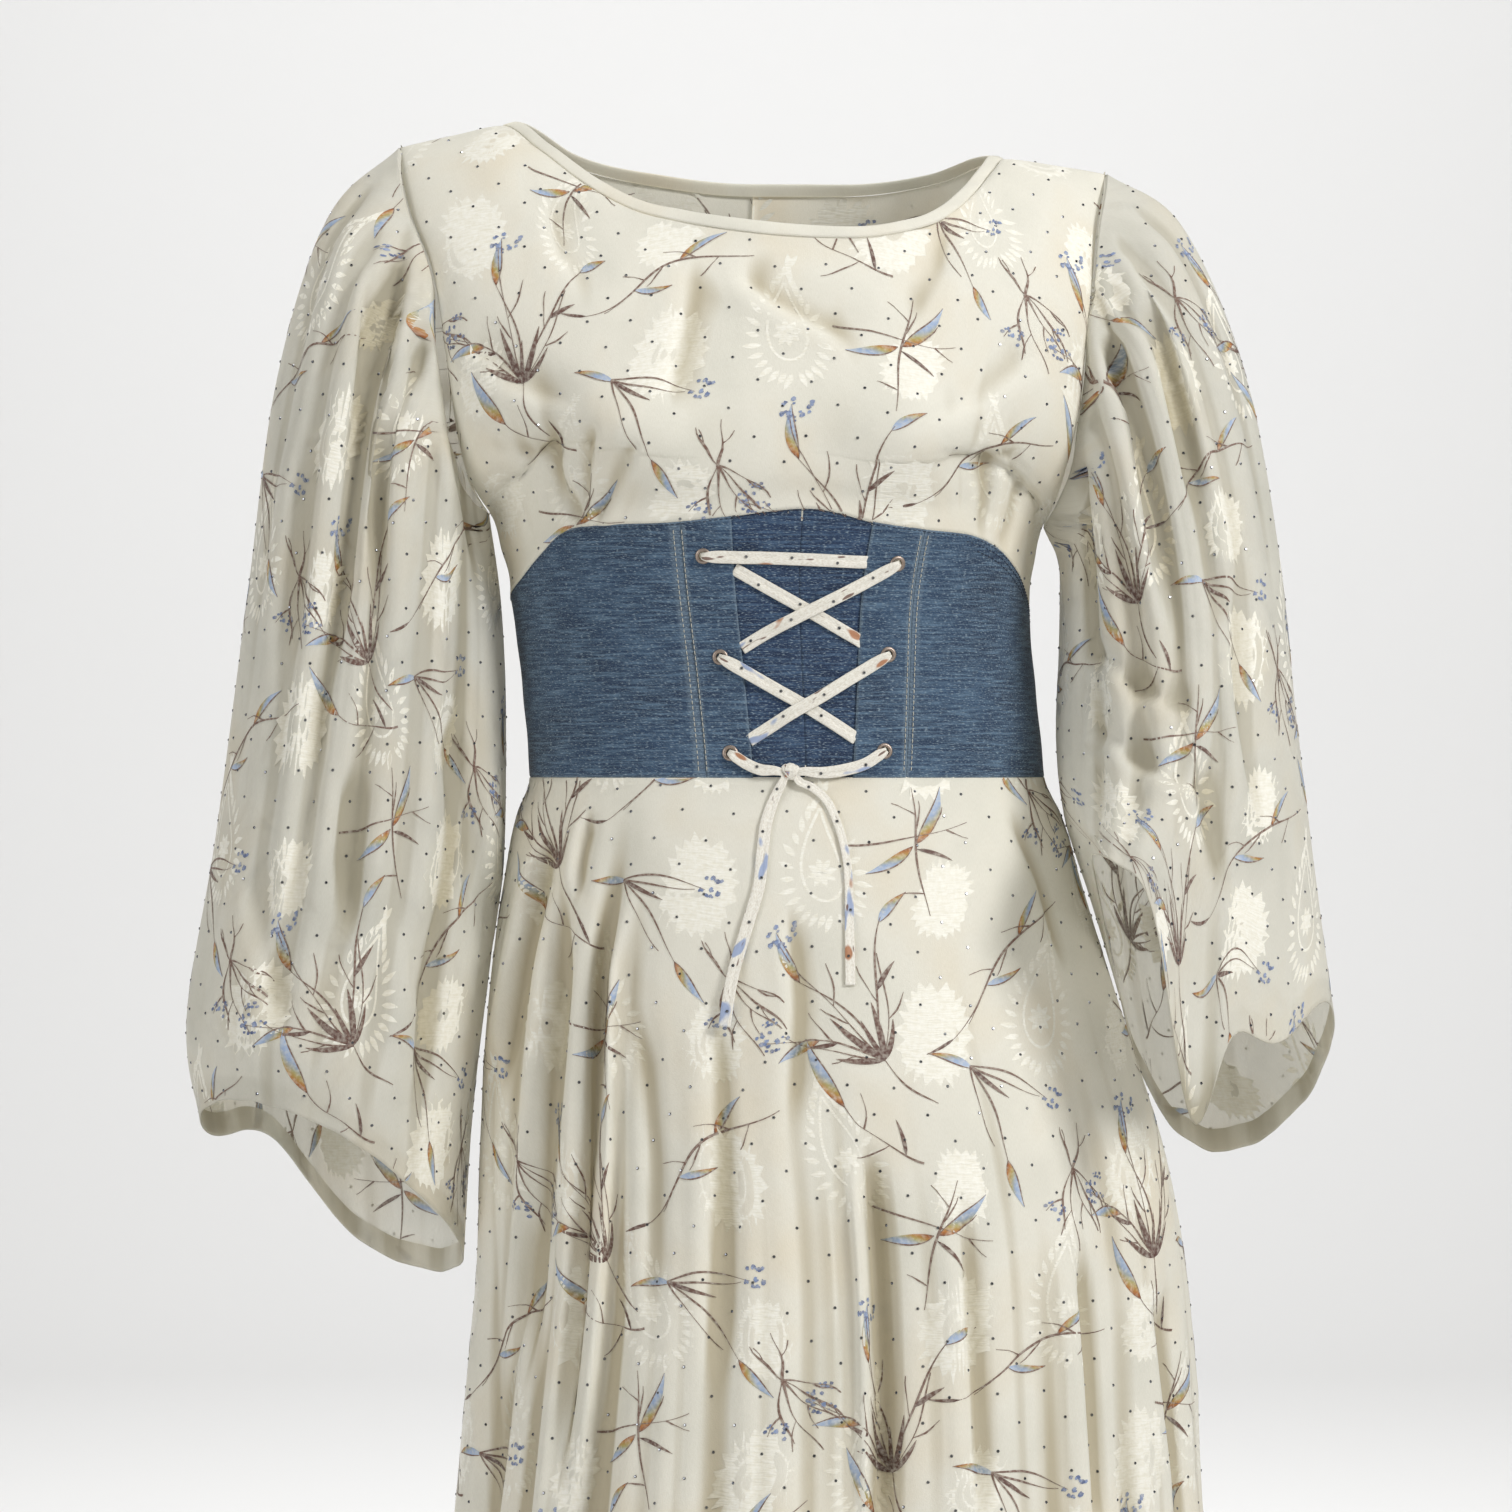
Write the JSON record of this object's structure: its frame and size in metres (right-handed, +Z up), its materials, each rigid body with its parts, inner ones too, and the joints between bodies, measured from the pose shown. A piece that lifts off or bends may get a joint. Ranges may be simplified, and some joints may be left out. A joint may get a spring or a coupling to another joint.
{
  "type": "midi dress",
  "caption": "Long-sleeved midi dress with a wide scoop neck, bell sleeves, a laced denim corset band at the waist and a flared skirt, shaped as worn.",
  "frame": {"origin": "the point where the dress is held: between the two shoulders, at the height where the shoulders meet the neck edge", "axes": "+Z up, -Y towards the front of the dress, +X to the right in the picture, which is the wearer's left"},
  "size_m": [0.6369, 0.4758, 1.1917],
  "materials": {
    "printed_cloth": "fine cream jacquard, slightly sheer, printed",
    "denim": "blue slubbed denim",
    "lace_cloth": "flat straps of the cream cloth",
    "eyelet_metal": "pressed and plated, slightly copper",
    "zip_metal": "cream enamel"
  },
  "bodies": {
    "dress": {"bodice_front": "printed_cloth", "bodice_back_left": "printed_cloth", "bodice_back_right": "printed_cloth", "neck_edge": "printed_cloth", "sleeve_left": "printed_cloth", "sleeve_right": "printed_cloth", "corset_centre_left": "denim", "corset_centre_right": "denim", "corset_flap_left": "denim", "corset_flap_right": "denim", "corset_side_left": "denim", "corset_side_right": "denim", "corset_back_left": "denim", "corset_back_right": "denim", "eyelet_left_1": "eyelet_metal", "eyelet_left_2": "eyelet_metal", "eyelet_left_3": "eyelet_metal", "eyelet_right_1": "eyelet_metal", "eyelet_right_2": "eyelet_metal", "eyelet_right_3": "eyelet_metal", "lace_bar": "lace_cloth", "lace_cross_1_under": "lace_cloth", "lace_cross_1_over": "lace_cloth", "lace_cross_2_under": "lace_cloth", "lace_cross_2_over": "lace_cloth", "lace_tie_left": "lace_cloth", "lace_tie_right": "lace_cloth", "lace_knot": "lace_cloth", "lace_tail_left": "lace_cloth", "lace_tail_right": "lace_cloth", "skirt_front": "printed_cloth", "skirt_back_left": "printed_cloth", "skirt_back_right": "printed_cloth", "zip_slider": "zip_metal"},
    "zip_tab": {"zip_pull": "zip_metal"}
  },
  "joints": [
    {"name": "zip_pull_swing", "type": "hinge", "parent": "dress", "child": "zip_tab", "pos_m": [-0.01042, 0.08338, -0.04283], "axis": [1, 0, 0], "range_deg": [0, 150]}
  ]
}
